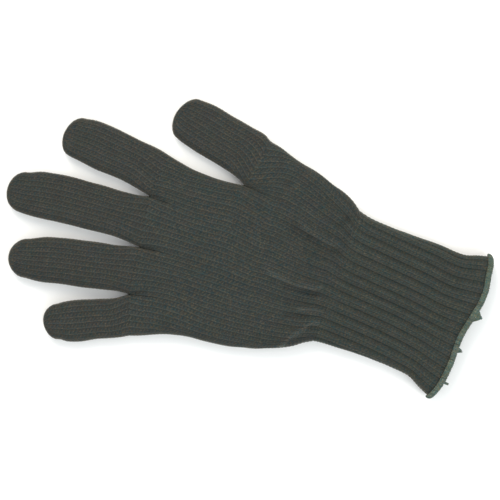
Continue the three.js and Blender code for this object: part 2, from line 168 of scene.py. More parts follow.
# Sections of the cuff: along is a share of its length, and the reach to each side of its centre line
# one of the wrist's width. Lean goes from the wrist's tilt to the cuff's, and ribs is their depth.
CUFF = np.array([
    # along, little, thumb, lean, ribs
    (0.0, 0.502, 0.502, 0.0, 0.7),
    (0.05, 0.492, 0.49, 0.3, 0.85),
    (0.2, 0.473, 0.491, 1.0, 1.0),
    (0.6, 0.438, 0.521, 1.0, 1.05),
    (0.77, 0.446, 0.529, 1.0, 1.0),
    (0.87, 0.48, 0.558, 1.0, 0.75),
    (1.0, 0.518, 0.597, 1.0, 0.35),
])

# The hem's slack line: across from the little side to the thumb side, and how far it runs past the
# cuff's length, as a share of it.
HEM_WAVE = np.array([
    (0.0, -0.03), (0.07, -0.004), (0.22, 0.01), (0.45, -0.006), (0.6, 0.014),
    (0.7, 0.026), (0.8, 0.018), (0.87, -0.004), (0.95, -0.024), (1.0, -0.05),
])
HEM_FROM = 0.75

# Fine creases in the slack wool at the wrist: the rise and the spread in mm, then the plan points.
CREASES = (
    (-0.5, 3.0, (24.6, -25.9), (19.8, -40.7), (18.3, -50.6)),
    (0.7, 1.5, (28.0, -29.7), (23.9, -40.8), (21.8, -50.0)),
    (0.8, 1.3, (-1.4, -16.9), (-5.0, -33.7), (-4.4, -44.7), (-1.5, -48.7)),
    (-0.4, 1.6, (-7.1, -28.2), (-7.5, -46.2)),
    (0.5, 1.2, (-18.0, -38.5), (-15.3, -46.6), (-15.7, -51.4)),
    (-0.35, 1.4, (-23.1, -32.7), (-19.4, -46.5)),
    (0.8, 1.5, (-40.2, -35.0), (-34.2, -38.7), (-29.1, -43.2), (-23.8, -47.7), (-22.8, -51.5)),
    (-0.5, 2.6, (40.7, -54.5), (37.0, -50.0)),
    (-0.4, 1.2, (23.1, 57.0), (21.0, 49.3)),
    (-0.45, 0.9, (-6.6, 57.8), (-6.2, 49.7)),
    (-0.5, 1.2, (-34.3, 55.1), (-29.1, 47.1)),
)


# Plan and small helpers.

def turned_up(degrees):
    """The direction turned by so many degrees from +Y towards the thumb."""
    angle = math.radians(degrees)
    return np.array([math.sin(angle), math.cos(angle)])


def turned_across(degrees):
    """The same for the direction across, from +X."""
    angle = math.radians(degrees)
    return np.array([math.cos(angle), -math.sin(angle)])


def mix(a, b, share):
    return a + (b - a) * share


def smoothstep(value, low, high):
    share = np.clip((value - low) / (high - low), 0.0, 1.0)
    return share * share * (3.0 - 2.0 * share)


def curve_through(xs, ys, x, end_slope=None):
    """Reads a smooth curve through a table's rows at x."""
    xs = np.asarray(xs, float)
    ys = np.asarray(ys, float)
    slopes = np.gradient(ys, xs)
    if end_slope is not None:
        slopes[-1] = end_slope
    i = np.clip(np.searchsorted(xs, x) - 1, 0, len(xs) - 2)
    run = xs[i + 1] - xs[i]
    t = np.clip((x - xs[i]) / run, 0.0, 1.0)
    start = (1 + 2 * t) * (1 - t) ** 2 * ys[i] + t * (1 - t) ** 2 * run * slopes[i]
    return start + t * t * (3 - 2 * t) * ys[i + 1] + t * t * (t - 1) * run * slopes[i + 1]


def on_palm(shares):
    return np.array([shares[0] * PALM_WIDTH, shares[1] * PALM_LENGTH])


WRIST_CENTRE = on_palm(WRIST_MIDDLE)
WRIST_ENDS = [WRIST_CENTRE + turned_across(WRIST_TILT) * side * WRIST_WIDTH for side in (-0.5, 0.5)]


def seam(name, along):
    """A point on the line between two finger strips, from its crotch to the wrist."""
    foot = mix(WRIST_ENDS[0], WRIST_ENDS[1], STRIPS_AT_WRIST[name])
    return mix(on_palm(CROTCH[name]), foot, along)


def upper_course(along):
    little = mix(on_palm(CROTCH["littleSide"]), on_palm(THUMB_LEVEL), along)
    index = mix(on_palm(CROTCH["indexSide"]), on_palm(CROTCH["indexThumb"]), along)
    little[0] -= curve_through(UPPER_HAND[:, 0], UPPER_HAND[:, 1], along) * PALM_WIDTH
    index[0] += curve_through(UPPER_HAND[:, 0], UPPER_HAND[:, 2], along) * PALM_WIDTH
    return np.array([little, *[seam(s, along * THUMB_CROTCH_ALONG) for s in FINGER_SEAMS], index])


def lower_course(along):
    little = mix(on_palm(THUMB_LEVEL), WRIST_ENDS[0], along)
    thumb = mix(on_palm(CROTCH["thumbSide"]), WRIST_ENDS[1], along)
    little[0] -= curve_through(LOWER_HAND[:, 0], LOWER_HAND[:, 1], along) * PALM_WIDTH
    thumb[0] += curve_through(LOWER_HAND[:, 0], LOWER_HAND[:, 2], along) * PALM_WIDTH
    seams = [seam(s, mix(THUMB_CROTCH_ALONG, 1.0, along)) for s in FINGER_SEAMS]
    return np.array([little, *seams, seam("indexThumb", along), thumb])


def marks_of(course):
    """Distance along a course to each of its points."""
    return np.concatenate([[0.0], np.cumsum(np.linalg.norm(np.diff(course, axis=0), axis=1))])


def along_course(course, distance):
    """Plan points at distances along a course, which runs on straight past its ends."""
    marks = marks_of(course)
    far = 100.0
    first = (course[1] - course[0]) / marks[1]
    last = (course[-1] - course[-2]) / (marks[-1] - marks[-2])
    points = np.vstack([course[0] - far * first, course, course[-1] + far * last])
    places = np.concatenate([[-far], marks, [marks[-1] + far]])
    return np.stack([np.interp(distance, places, points[:, k]) for k in (0, 1)], axis=-1)


def away_from(plan, start, end):
    """How far plan points are from a stretch of line."""
    run = end - start
    share = np.clip((plan - start) @ run / (run @ run), 0.0, 1.0)
    return np.linalg.norm(plan - start - share[:, None] * run, axis=1)


def crease_rise(plan):
    rise = np.zeros(len(plan))
    for height, spread, *points in CREASES:
        points = np.array(points)
        away = np.min([away_from(plan, *ends) for ends in zip(points[:-1], points[1:])], axis=0) / spread
        rise += height * np.exp(-away * away)
    return rise


def fold_rise(plan):
    rise = crease_rise(plan)
    for x0, y0, x1, y1, height, spread in FOLDS:
        away = away_from(plan, on_palm((x0, y0)), on_palm((x1, y1))) / (spread * PALM_WIDTH)
        rise += height * PALM_LOFT * np.exp(-away * away)
    return rise


# Rings of the flat tubes.

SIDE_TURNS = np.linspace(0.0, math.pi / 2, 13)


def half_outline(total, radius, own, seams=(), pinch=0.0):
    """The upper half of a flat tube's section: distances across it and heights over its middle. The
    radius is that of the outer side, own is that of this skin, and the seams press the halves together."""
    side = own * np.cos(SIDE_TURNS)
    level = np.linspace(radius, max(total - radius, radius + 1e-6), 60)
    near = [s + way * (radius - side) for s in seams for way in (-1, 1)]
    level = np.unique(np.clip(np.concatenate([level, *near]), radius, total - radius))
    height = np.full(len(level), own)
    for s in seams:
        off = np.minimum(np.abs(level - s), radius)
        height -= pinch * (own - np.sqrt(np.maximum(0.0, own ** 2 - (radius - off) ** 2)))
    across = np.concatenate([radius - side[:-1], level, (total - radius + side[:-1])[::-1]])
    rim = own * np.sin(SIDE_TURNS[:-1])
    return across, np.concatenate([rim, np.maximum(height, 0.0), rim[::-1]])


def arc_of(across, height):
    return np.concatenate([[0.0], np.cumsum(np.hypot(np.diff(across), np.diff(height)))])


def whole_outline(across, height):
    """The full section, over the back and under the palm, with the way round to each of its points."""
    x = np.concatenate([across, across[-2::-1]])
    z = np.concatenate([height, -height[-2::-1]])
    return x, z, arc_of(x, z)


def wale_ring(course, loft, widths, pins=(), freedom=1.0, twist=0.0, inset=0.0, pinch=0.0, lift=0.0,
              folded=False):
    """A ring of stations that keeps its wales in place. It starts at the little side and goes over the
    back. The widths are the wales' own, pins hold a wale at a point of the course, freedom lets go of
    them, and the twist turns the whole ring by a length."""
    marks = marks_of(course)
    radius = loft / 2
    seams = [marks[k] for _, k in pins]
    across, height = half_outline(marks[-1], radius, radius - inset, seams, pinch)
    front = arc_of(across, height)
    x, z, arc = whole_outline(across, height)
    count = len(widths)
    run = np.concatenate([[0.0], np.cumsum(widths)])
    bounds = run / run[-1] * arc[-1]
    if freedom < 1.0:
        held = [0, *[wale for wale, _ in pins], count // 2]
        places = [0.0, *np.interp(seams, across, front), front[-1]]
        upper = np.interp(run[:count // 2 + 1], run[held], places)
        pinned = np.concatenate([upper, arc[-1] - upper[-2::-1]])
        bounds = mix(pinned, bounds, freedom)
    wale = (np.arange(count)[:, None] + WALE_STATIONS[None, :]).ravel()
    place = (np.interp(wale, np.arange(count + 1), bounds) + twist) % arc[-1]
    return ring_points(course, np.interp(place, arc, x), np.interp(place, arc, z), radius, lift, folded)


def ring_points(course, x, z, radius, lift, folded):
    plan = along_course(course, x)
    points = np.column_stack([plan, lift + radius + z])
    if folded:
        points[:, 2] += fold_rise(plan) * np.clip(z / radius, 0.0, 1.0)
    return points


# Stitches.

# Stations across one wale: the valley, the crest of the steep leg, the notch, and two on the wide leg.
WALE_STATIONS = np.array([0.0, 0.17, 0.34, 0.56, 0.79])
PER_WALE = len(WALE_STATIONS)
# Where each station lies along the wale, in courses: the two legs of the stitch make a lopsided V.
WALE_SHIFT = np.array([0.5, 0.0, -0.5, -0.17, 0.18])
WALE_HEIGHT = np.array([0.0, 1.0, 0.5, 0.8, 0.6])
# How light each station is painted: painted shade in the valley and the notch, and a painted highlight on
# the steep leg's crest, as if lit from one side.
WALE_LIGHT = np.array([0.3, 1.35, 0.58, 0.82, 0.6])
COURSE_CUT = np.array([0.3, 0.3, 0.7, 1.0, 0.9])
WALE_DEPTH = 0.36
COURSE_DEPTH = 0.3
# How much painted shade darkens the wool between two courses, where a leg turns, and between two ribs.
COURSE_SHADE = 0.6
TURN_SHADE = 0.45
RIB_SHADE = 0.28


def surface_frames(points):
    """Tangent along the rows, and outward normal, of a grid of closed rings."""
    wrapped = np.concatenate([points[:, -1:], points, points[:, :1]], axis=1)
    around = (wrapped[:, 2:] - wrapped[:, :-2]) / 2
    along = np.gradient(points, axis=0)
    normal = np.cross(around, along)
    normal /= np.maximum(np.linalg.norm(normal, axis=2, keepdims=True), 1e-9)
    return along, normal


class Skin:
    """The outer side of a knitted tube before its stitches: a grid of rings, with the rows' courses."""

    def __init__(self, points, courses):
        self.points = points
        self.courses = courses
        along, self.normal = surface_frames(points)
        middle = points.mean(axis=1, keepdims=True)
        self.normal *= np.sign(np.sum((points - middle) * self.normal))
        self.per_course = along / np.gradient(courses)[:, None, None]


def stitched(skin, strength, relief=None):
    """Points, and the painted light and shade at each, once the stitches are on the skin."""
    wales = skin.points.shape[1] // PER_WALE
    shift, height, light, leg_cut = (
        np.tile(row, wales)[None, :] for row in (WALE_SHIFT, WALE_HEIGHT, WALE_LIGHT, COURSE_CUT))
    phase = (skin.courses - np.floor(skin.courses))[:, None]
    cut = np.cos(math.pi * phase) ** 2
    turning = np.cos(math.pi * (phase + shift)) ** 2
    drop = WALE_DEPTH * (1.0 - height) + COURSE_DEPTH * cut * leg_cut
    points = skin.points + skin.per_course * (shift * strength)[:, :, None]
    points = points - skin.normal * (drop * strength)[:, :, None]
    # Painted shade in the gaps between courses, at the legs' turns and in the grooves between ribs.
    yarn = light * (1.0 - COURSE_SHADE * cut * leg_cut) * (1.0 - TURN_SHADE * turning)
    if relief is not None:
        points -= skin.normal * (relief * RIB_DEPTH)[:, :, None]
        yarn = yarn * (1.0 - RIB_SHADE * relief)
    return points, yarn


# Meshes.

class Fabric:
    """Collects points and faces of one knitted piece, and the values that colour it."""

    def __init__(self):
        self.points, self.yarn, self.tone = [], [], []
        self.quads, self.smooth, self.triangles = [], [], []
        self.count = 0

    # The second value is the stitches' own shade, with painted sheen and crease light and shade on it.
    def add(self, points, yarn, tone=0.5):
        shape = points.shape[:-1]
        ids = np.arange(self.count, self.count + int(np.prod(shape))).reshape(shape)
        self.points.append(points.reshape(-1, 3))
        self.yarn.append(np.broadcast_to(yarn, shape).ravel())
        self.tone.append(np.broadcast_to(tone, shape).ravel())
        self.count += ids.size
        return ids

    def strip(self, a, b, closed=True, smooth=True):
        """Quads between two rows of points, which run the same way."""
        if closed:
            a, b = np.append(a, a[0]), np.append(b, b[0])
        self.quads.append(np.stack([a[:-1], a[1:], b[1:], b[:-1]], axis=1))
        self.smooth.append(np.full(len(a) - 1, smooth))

    def rim(self, a, b, closed=True):
        """The end of a tube, from one side of the fabric to the other, where the light breaks off."""
        self.strip(a, b, closed, smooth=False)

    def grid(self, ids):
        for a, b in zip(ids[:-1], ids[1:]):
            self.strip(a, b)

    def fan(self, ring, tip):
        self.triangles.append(np.stack([ring, np.roll(ring, -1), np.full(len(ring), tip)], axis=1))

    def build(self, name, material, node):
        """Makes the mesh, which is dressed over one solid and rides with it."""
        points = np.concatenate(self.points) * MM
        quads = np.concatenate(self.quads)
        corners = [quads.ravel()]
        sizes = [np.full(len(quads), 4)]
        if self.triangles:
            triangles = np.concatenate(self.triangles)
            corners.append(triangles.ravel())
            sizes.append(np.full(len(triangles), 3))
        corners, sizes = np.concatenate(corners), np.concatenate(sizes)
        if volume_of(points, quads, self.triangles) < 0:
            corners = reversed_corners(corners, sizes)
        mesh = bpy.data.meshes.new(name)
        mesh.vertices.add(len(points))
        mesh.vertices.foreach_set("co", points.astype(np.float32).ravel())
        mesh.loops.add(len(corners))
        mesh.loops.foreach_set("vertex_index", corners.astype(np.int32))
        mesh.polygons.add(len(sizes))
        starts = np.concatenate([[0], np.cumsum(sizes)[:-1]])
        mesh.polygons.foreach_set("loop_start", starts.astype(np.int32))
        smooth = np.concatenate([*self.smooth, np.ones(len(sizes) - len(quads), bool)])
        mesh.polygons.foreach_set("use_smooth", smooth)
        for attribute, values in (("yarn", self.yarn), ("tone", self.tone)):
            data = mesh.attributes.new(attribute, "FLOAT", "POINT").data
            data.foreach_set("value", np.concatenate(values).astype(np.float32))
        mesh.update(calc_edges=True)
        mesh.validate()
        mesh.materials.append(material)
        piece = bpy.data.objects.new(name, mesh)
        bpy.context.scene.collection.objects.link(piece)
        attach(piece, "root")
        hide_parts(node)


def volume_of(points, quads, triangles):
    """Six times the volume, which is negative where the faces look inwards."""
    faces = np.concatenate([quads[:, [0, 1, 2]], quads[:, [0, 2, 3]], *triangles])
    a, b, c = points[faces[:, 0]], points[faces[:, 1]], points[faces[:, 2]]
    return float(np.sum(a * np.cross(b, c)))


def reversed_corners(corners, sizes):
    """The same faces seen from the other side."""
    fours = int(np.sum(sizes == 4)) * 4
    quads = corners[:fours].reshape(-1, 4)[:, ::-1].ravel()
    return np.concatenate([quads, corners[fours:].reshape(-1, 3)[:, ::-1].ravel()])


# Colours and materials.

def linear(colour):
    """A linear colour from an sRGB hex value."""
    parts = [((colour >> shift) & 255) / 255 for shift in (16, 8, 0)]
    return (*[p / 12.92 if p <= 0.04045 else ((p + 0.055) / 1.055) ** 2.4 for p in parts], 1.0)


def new_material(name):
    material = bpy.data.materials.new(name)
    material.use_nodes = True
    tree = material.node_tree
    tree.nodes.clear()
    return material, tree


def add_node(tree, kind, links=None, **settings):
    """Adds a node, sets its properties or input values, and links its inputs."""
    node = tree.nodes.new(kind)
    for key, value in settings.items():
        if key.startswith("_"):
            node.inputs[key[1:].replace("_", " ")].default_value = value
        else:
            setattr(node, key, value)
    for key, source in (links or {}).items():
        tree.links.new(source, node.inputs[key])
    return node


# Shades of the fibres spun into the yarn: teal, grey, brown and a few pale ones, by their share of the
# fleck pattern. A shade of 0.5 leaves a channel as it is.
FIBRES = (
    (0.3, (0.08, 0.37, 0.5)),
    (0.43, (0.34, 0.48, 0.56)),
    (0.52, (0.5, 0.5, 0.5)),
    (0.61, (0.77, 0.57, 0.42)),
    (0.71, (1.0, 0.92, 0.8)),
)
# Dyed fibres lie in flecks 0.75 mm wide, drifts of shade are 6 mm wide, and single fibres 0.25 mm apart
# roughen the strands. Real fibres are finer, and would not show.
FLECK = 0.75 * MM
DRIFT = 6.0 * MM
HAIR = 0.25 * MM


def wool(name, lit_crest, shaded_valley, fuzz=0.35):
    """Heathered worsted wool, knitted: dull, soft at its edges with loose fibres, and given painted shade
    between the strands and a painted highlight on their crests. Teal, brown and grey fibres are spun
    together, so its colour changes within each stitch."""
    material, tree = new_material(name)
    place = add_node(tree, "ShaderNodeTexCoord").outputs["Object"]
    yarn = add_node(tree, "ShaderNodeAttribute", attribute_name="yarn").outputs["Fac"]
    tone = add_node(tree, "ShaderNodeAttribute", attribute_name="tone").outputs["Fac"]
    # The painted light and shade mixes the shaded valley colour with the lit crest colour.
    base = add_node(tree, "ShaderNodeMix", {"Factor": yarn}, data_type="RGBA")
    base.inputs["A"].default_value = linear(shaded_valley)
    base.inputs["B"].default_value = linear(lit_crest)
    flecks = add_node(tree, "ShaderNodeTexNoise", {"Vector": place}, _Scale=1 / FLECK, _Detail=2.0,
                      _Roughness=0.75)
    dyes = add_node(tree, "ShaderNodeValToRGB", {"Fac": flecks.outputs["Fac"]})
    for _ in FIBRES[2:]:
        dyes.color_ramp.elements.new(0.5)
    for element, (share, shade) in zip(dyes.color_ramp.elements, FIBRES):
        element.position = share
        element.color = (*shade, 1.0)
    drift = add_node(tree, "ShaderNodeTexNoise", {"Vector": place}, _Scale=1 / DRIFT, _Detail=2.0)
    drifts = add_node(tree, "ShaderNodeVectorMath", {0: drift.outputs["Color"]}, operation="MULTIPLY_ADD")
    drifts.inputs[1].default_value = (0.2, 0.14, 0.18)
    drifts.inputs[2].default_value = (0.9, 0.93, 0.91)
    spun = add_node(tree, "ShaderNodeVectorMath", {0: dyes.outputs["Color"], 1: drifts.outputs[0]},
                    operation="MULTIPLY")
    # Both the fibres' and the stitches' shades are 0.5 where they leave the colour as it is.
    even = add_node(tree, "ShaderNodeMath", {0: tone}, operation="MULTIPLY")
    even.inputs[1].default_value = 4.0
    shaded = add_node(tree, "ShaderNodeVectorMath", {0: base.outputs["Result"], 1: spun.outputs[0]},
                      operation="MULTIPLY")
    tint = add_node(tree, "ShaderNodeVectorMath", {0: shaded.outputs[0], "Scale": even.outputs[0]},
                    operation="SCALE")
    hairs = add_node(tree, "ShaderNodeTexNoise", {"Vector": place}, _Scale=1 / HAIR, _Detail=3.0)
    bump = add_node(tree, "ShaderNodeBump", {"Height": hairs.outputs["Fac"]}, _Strength=0.5, _Distance=HAIR)
    shader = add_node(tree, "ShaderNodeBsdfPrincipled",
                      {"Base Color": tint.outputs["Vector"], "Normal": bump.outputs["Normal"]},
                      _Roughness=0.92, _IOR=1.45)
    shader.inputs["Specular IOR Level"].default_value = 0.2
    shader.inputs["Sheen Weight"].default_value = fuzz
    shader.inputs["Sheen Roughness"].default_value = 0.45
    shader.inputs["Sheen Tint"].default_value = linear(0xBCAE9C)
    add_node(tree, "ShaderNodeOutputMaterial", {"Surface": shader.outputs["BSDF"]})
    return material


palm_wool = wool("heathered wool, palm", 0x3B3E3B, 0x232523)
finger_wool = wool("heathered wool, fingers", 0x3B3C39, 0x232422)
rib_wool = wool("heathered wool, rib", 0x3C403C, 0x242623)
edge_wool = wool("green overcast thread", 0x5A645A, 0x2A302A, 0.15)


# The hand.

def rows_of(courses):
    """Course numbers of the rows of a stretch with a whole number of courses."""
    return np.arange(courses * ROWS_PER_COURSE + 1) / ROWS_PER_COURSE


# A knitted wale's share of its rib.
KNIT_SHARE = 0.39


def ribbed_wales():
    """Each wale's share of the way round a ribbed ring. A rib is two knitted wales, from one crest to
    the next, with a purl one sunk between them, or two at the sides of the hand."""
    doubled = {0, 1, RIBS // 2 - 2, RIBS // 2 - 1, RIBS // 2, RIBS // 2 + 1, RIBS - 2, RIBS - 1}
    shares = []
    for k in range(RIBS):
        purls = 2 if k in doubled else 1
        shares += [KNIT_SHARE] + [(1 - 2 * KNIT_SHARE) / purls] * purls + [KNIT_SHARE]
    return np.array(shares) / RIBS


RIB_WIDTHS = ribbed_wales()
RIB_PLACES = np.interp((np.arange(len(RIB_WIDTHS))[:, None] + WALE_STATIONS[None, :]).ravel(),
                       np.arange(len(RIB_WIDTHS) + 1), np.concatenate([[0.0], np.cumsum(RIB_WIDTHS)]))
RIB_VALLEY = smoothstep(np.abs((RIB_PLACES * RIBS + 0.5) % 1.0 - 0.5), 0.23, 0.44)


# How far in and out the slack surface wanders, and how far it sinks to stay within the solid.
SLACK = 0.12
SINK = 0.1


def uneven(points):
    """Slack of washed wool: the surface wanders in and out by a little, in waves 20 to 60 mm long."""
    x, y, z = points[..., 0], points[..., 1], points[..., 2]
    wave = np.sin(x / 3.1 + 1.3 * np.sin(y / 7.3)) * np.cos(y / 4.3 + 0.9 * np.sin(x / 5.9) + z / 3)
    return SLACK * (wave + 0.6 * np.sin(x / 7.7 - y / 9.1 + z / 4)) - SINK


# How far the tones of single stitches, and of whole wales, spread.
STITCH_SPREAD = 0.025
WALE_SPREAD = 0.0125


def stitch_tones(stations, courses):
    """A shade for each stitch, with 0.5 as the plain one: wool is never quite even."""
    wales = stations // PER_WALE + 1
    tones = random_draws.normal(0.5, STITCH_SPREAD, (int(np.abs(courses).max()) + 3, wales))
    bands = random_draws.normal(0.0, WALE_SPREAD, (1, wales))
    row = np.floor(courses).astype(int) % len(tones)
    column = np.arange(stations) // PER_WALE
    return np.clip(tones[row][:, column] + bands[:, column], 0.2, 0.9)


def upper_loft(along):
    return mix(FINGER_LOFT, PALM_LOFT, smoothstep(along, 0.0, 0.5))


def lower_loft(along):
    return mix(PALM_LOFT, CUFF_LOFT, smoothstep(along, 0.7, 1.0))


# Wales over which a gather fades.
GATHER_SPREAD = 2.4


def gathered(count, places):
    """Widths of the wales, drawn together round some of them. Each place is (wale, how much)."""
    centres = np.arange(count) + 0.5
    squeeze = np.zeros(count)
    for wale, amount in places:
        off = np.abs(centres - wale)
        squeeze += amount * np.exp(-(np.minimum(off, count - off) / GATHER_SPREAD) ** 2)
    return 1.0 / (1.0 + squeeze)


# Side wales roll under as the hand narrows: how strongly at the little side, index and thumb.
LITTLE_GATHER = 2.0
INDEX_GATHER = 1.5
THUMB_GATHER = 2.0
FINGER_WALES = sum(STRIP_WALES)
HAND_WALES = FINGER_WALES + THUMB_WALES
FINGER_PINS = [(sum(STRIP_WALES[:k]), k) for k in (1, 2, 3)]
THUMB_PINS = [(FINGER_WALES, len(STRIP_WALES))]
# How far the wales have turned round the hand by the wrist, in mm.
HAND_TWIST = -4.0


def upper_ring(along, inset=0.0):
    rolled = smoothstep(along, 0.2, 1.0)
    widths = gathered(2 * FINGER_WALES, ((0, LITTLE_GATHER * rolled), (FINGER_WALES, INDEX_GATHER * rolled)))
    pinch = float(curve_through(UPPER_HAND[:, 0], UPPER_HAND[:, 3], along))
    return wale_ring(upper_course(along), upper_loft(along), widths, FINGER_PINS,
                     smoothstep(along, 0.15, 0.95), 0.0, inset, pinch, folded=True)


def rib_fade(along):
    """How far the ribs have come up above the wrist."""
    return CUFF[0, 4] * smoothstep(along, 0.35, 0.85)


def lower_ring(along, inset=0.0):
    crotch = INDEX_GATHER * (1.0 - smoothstep(along, 0.0, 0.3))
    places = ((0, LITTLE_GATHER), (HAND_WALES, THUMB_GATHER * smoothstep(along, 0.0, 0.4)),
              (FINGER_WALES, crotch), (2 * HAND_WALES - FINGER_WALES, crotch))
    plain = gathered(2 * HAND_WALES, places)
    widths = mix(plain / plain.sum(), RIB_WIDTHS, smoothstep(along, 0.6, 1.0))
    pinch = float(curve_through(LOWER_HAND[:, 0], LOWER_HAND[:, 3], along))
    return wale_ring(lower_course(along), lower_loft(along), widths, THUMB_PINS,
                     smoothstep(along, 0.0, 0.4), HAND_TWIST * smoothstep(along, 0.1, 1.0), inset, pinch,
                     folded=True)


# How much painted sheen lightens the folded sides, and how wide a wale has to be to show its full relief.
SIDE_SHEEN = 0.65
FULL_WALE = 2.2


def knit_rows(points, courses, strength=1.0, relief=None):
    """Points of a knitted skin, its painted light and shade, and the shades of its stitches with painted
    sheen on the folded sides. The strength is how far its stitches stand out.
    """
    stations = points.shape[1]
    skin = Skin(points, courses)
    closed = np.concatenate([points, points[:, :PER_WALE]], axis=1)
    width = np.linalg.norm(closed[:, PER_WALE:] - closed[:, :-PER_WALE], axis=2)
    strength = strength * np.clip(width / FULL_WALE, 0.0, 1.0)
    out, yarn = stitched(skin, strength, relief)
    out += skin.normal * uneven(points)[:, :, None]
    # Painted sheen: the folded sides are made paler, standing in for light caught by loose fibres there.
    painted_side_sheen = 1.0 + SIDE_SHEEN * smoothstep(1.0 - np.abs(skin.normal[:, :, 2]), 0.3, 0.8)
    return out, yarn, stitch_tones(stations, courses) * painted_side_sheen


# How much painted highlight or painted shade the wool gets for each millimetre that a crease stands up or
# sinks.
CREASE_HIGHLIGHT = 0.6
CREASE_SHADE = 0.35


def crease_painted_light(tone, points):
    """Painted light on the creases: the wool is painted paler along a crease that stands up, as a painted
    highlight, and darker in one that sinks, as painted shade.
    """
    plan = points[..., :2].reshape(-1, 2)
    top = smoothstep(points[..., 2], PALM_LOFT * 0.45, PALM_LOFT * 0.7)
    rise = crease_rise(plan).reshape(tone.shape)
    return tone * (1.0 + np.where(rise > 0.0, CREASE_HIGHLIGHT, CREASE_SHADE) * rise * top)


# Rows over which the wales' bend at the thumb is spread.
EASE_REACH = 24


def eased(upper, lower, shared):
    """Lets the wales bend slowly where the thumb's stitches join, away from the crotch itself."""
    join = len(upper) - 1
    columns = np.concatenate([upper[:-1], lower[:, shared]])
    rows = np.arange(len(columns))
    offsets = np.arange(-EASE_REACH, EASE_REACH + 1)
    weights = np.exp(-(offsets / (EASE_REACH / 2)) ** 2)
    smooth = sum(w * columns[np.clip(rows + k, 0, len(rows) - 1)] for w, k in zip(weights, offsets))
    near = np.exp(-((rows - join) / EASE_REACH) ** 2)[:, None, None]
    wales_off = np.abs(np.arange(len(shared)) / PER_WALE - FINGER_WALES)
    beside = smoothstep(wales_off, 0.0, 8.0)[None, :, None]
    columns[..., :2] += ((smooth / weights.sum() - columns) * near * beside)[..., :2]
    upper[:] = columns[:join + 1]
    lower[:, shared] = columns[join:]


def hand_knit():
    fabric = Fabric()
    upper_courses = 24
    lower_courses = 31
    upper_rows = rows_of(upper_courses)
    lower_rows = rows_of(lower_courses)
    upper = np.array([upper_ring(along) for along in upper_rows / upper_courses])
    lower = np.array([lower_ring(along) for along in lower_rows / lower_courses])
    inner_steps = np.linspace(0.0, 1.0, INNER_ROWS)
    upper_in = np.array([upper_ring(along, FABRIC) for along in inner_steps])
    lower_in = np.array([lower_ring(along, FABRIC) for along in inner_steps])

    crotch = FINGER_WALES * PER_WALE
    ring = 2 * HAND_WALES * PER_WALE
    back_of_crotch = ring - crotch
    shared = np.concatenate([np.arange(crotch + 1), np.arange(back_of_crotch + 1, ring)])
    eased(upper, lower, shared)
    ribs = rib_fade(lower_rows / lower_courses)[:, None] * RIB_VALLEY[None, :]
    thumb_side = slice(crotch, back_of_crotch + 1)
    # The thumb's stitches meet the hand's at an angle, so both lie flat where they join.
    strength = np.ones(lower.shape[:2])
    strength[:, crotch + 1:back_of_crotch] = smoothstep(lower_rows, 0.0, 1.0)[:, None]
    lower_out, yarn, tone = knit_rows(lower, lower_rows, strength, ribs)
    lower_out[0, back_of_crotch] = lower_out[0, crotch]
    lower_ids = fabric.add(lower_out, yarn, crease_painted_light(tone, lower))
    lower_in_ids = fabric.add(lower_in, INSIDE_LIGHT)
    lower_ids[0, back_of_crotch] = lower_ids[0, crotch]
    lower_in_ids[0, back_of_crotch] = lower_in_ids[0, crotch]

    upper_out, yarn, tone = knit_rows(upper, upper_rows)
    tone = crease_painted_light(tone, upper)
    upper_ids = np.vstack([fabric.add(upper_out[:-1], yarn[:-1], tone[:-1]), lower_ids[0, shared]])
    upper_in_ids = np.vstack([fabric.add(upper_in[:-1], INSIDE_LIGHT), lower_in_ids[0, shared]])

    fabric.grid(upper_ids)
    fabric.grid(lower_ids)
    fabric.grid(upper_in_ids[::-1])
    fabric.grid(lower_in_ids[::-1])
    fabric.rim(upper_in_ids[0], upper_ids[0])
    fabric.rim(lower_ids[-1], lower_in_ids[-1])
    fabric.rim(lower_in_ids[0, thumb_side], lower_ids[0, thumb_side], closed=False)
    fabric.build("hand_knit", palm_wool, "hand")


# The digits.

# Turns round a tip where its sections lie, and its loft at the very end as a share of the finger's.
TIP_TURNS = np.radians([18.0, 36.0, 54.0, 70.0, 82.0, 90.0])
TIP_LOFT = 0.5
# The smallest width and height that a tip closes to, and the share that is left of a gusset's wales.
TIP_WIDTH = 0.3
TIP_HOLLOW = 0.2
GUSSET_LEFT = 0.02


def digit_path(spec):
    """Nodes along a digit: distance from the crotch line, width, shift and loft, and how far the skin
    has come at each."""
    left, right = (on_palm(CROTCH[name]) for name in spec["between"])
    base = float(np.linalg.norm(right - left))
    length = spec["length"] + JOIN_GAP
    end_along, end_width, end_shift = spec["sections"][-1]
    tip_start = end_along * length
    rows = [(0.0, base, 0.0, spec["loft"])]
    for along, width, shift in spec["sections"]:
        loft = mix(spec["loft"], FINGER_LOFT, smoothstep(along, 0.0, 0.3))
        rows.append((along * length, width * base, shift * base, loft))
    for turn in TIP_TURNS:
        width = end_width * base * math.cos(turn)
        loft = min(FINGER_LOFT * mix(TIP_LOFT, 1.0, math.cos(turn)), width)
        rows.append((tip_start + (length - tip_start) * math.sin(turn), width,
                     end_shift * base * math.cos(turn), loft))
    rows = np.array(rows)
    step = np.hypot(np.diff(rows[:, 0]), 0.3 * np.diff(rows[:, 1]))
    return rows, np.concatenate([[0.0], np.cumsum(step)]), left, right


